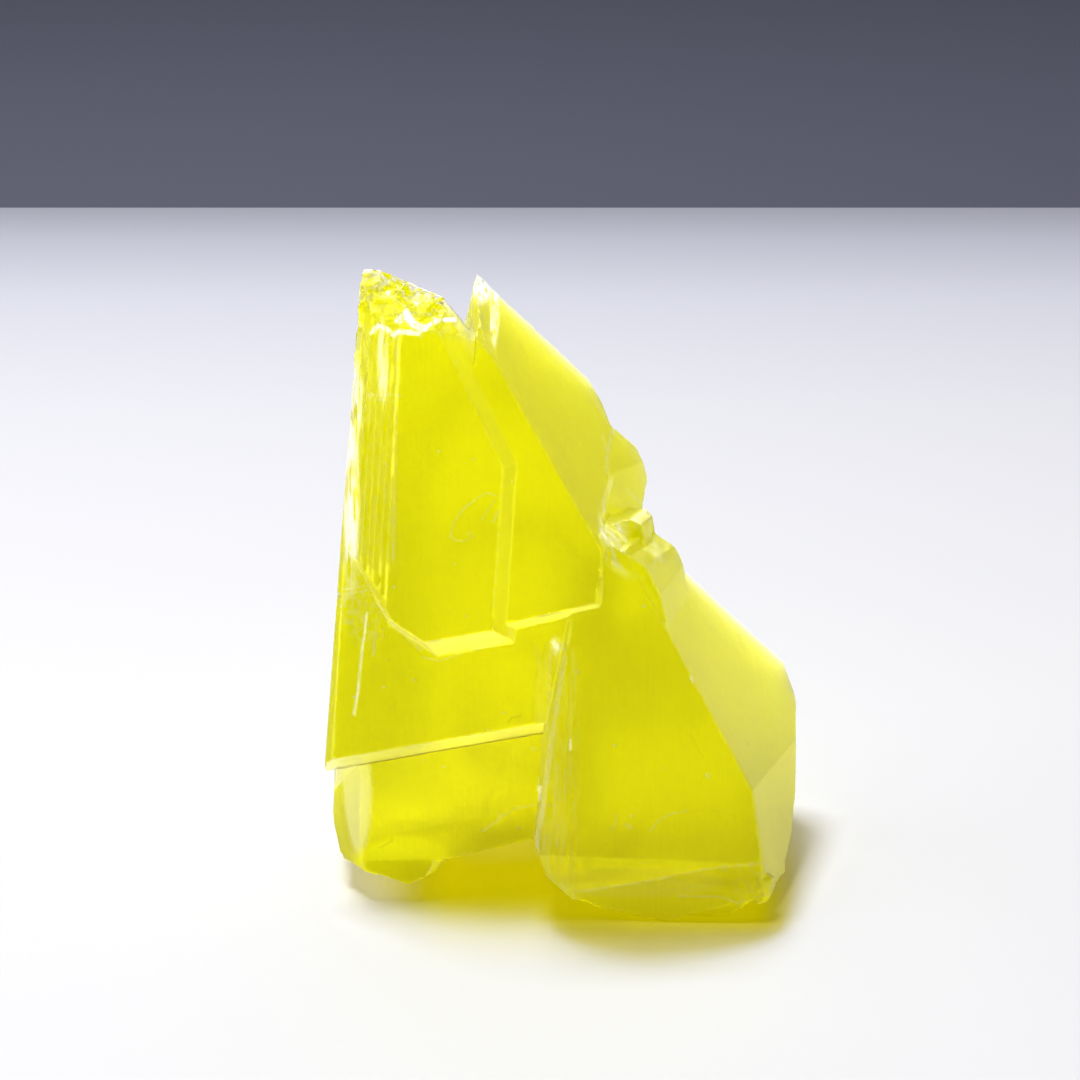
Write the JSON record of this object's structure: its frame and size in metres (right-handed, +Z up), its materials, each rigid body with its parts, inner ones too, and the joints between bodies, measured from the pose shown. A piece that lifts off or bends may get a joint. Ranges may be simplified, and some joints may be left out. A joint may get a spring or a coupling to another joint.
{
  "type": "native sulfur specimen",
  "caption": "Native sulfur specimen: blocky translucent yellow crystals grown together, with a raised bevelled plate, a broken top and an arch between its feet.",
  "frame": {"origin": "middle of the bounding box at the level the specimen stands on", "axes": "+Z up, -Y towards the viewer of the front with the raised plate, +X to that viewer's right"},
  "size_m": [0.0342, 0.0208, 0.0439],
  "materials": {
    "sulfur": "translucent, resinous to greasy lustre"
  },
  "bodies": {
    "root": {"sulfur_crystal": "sulfur"}
  },
  "joints": []
}
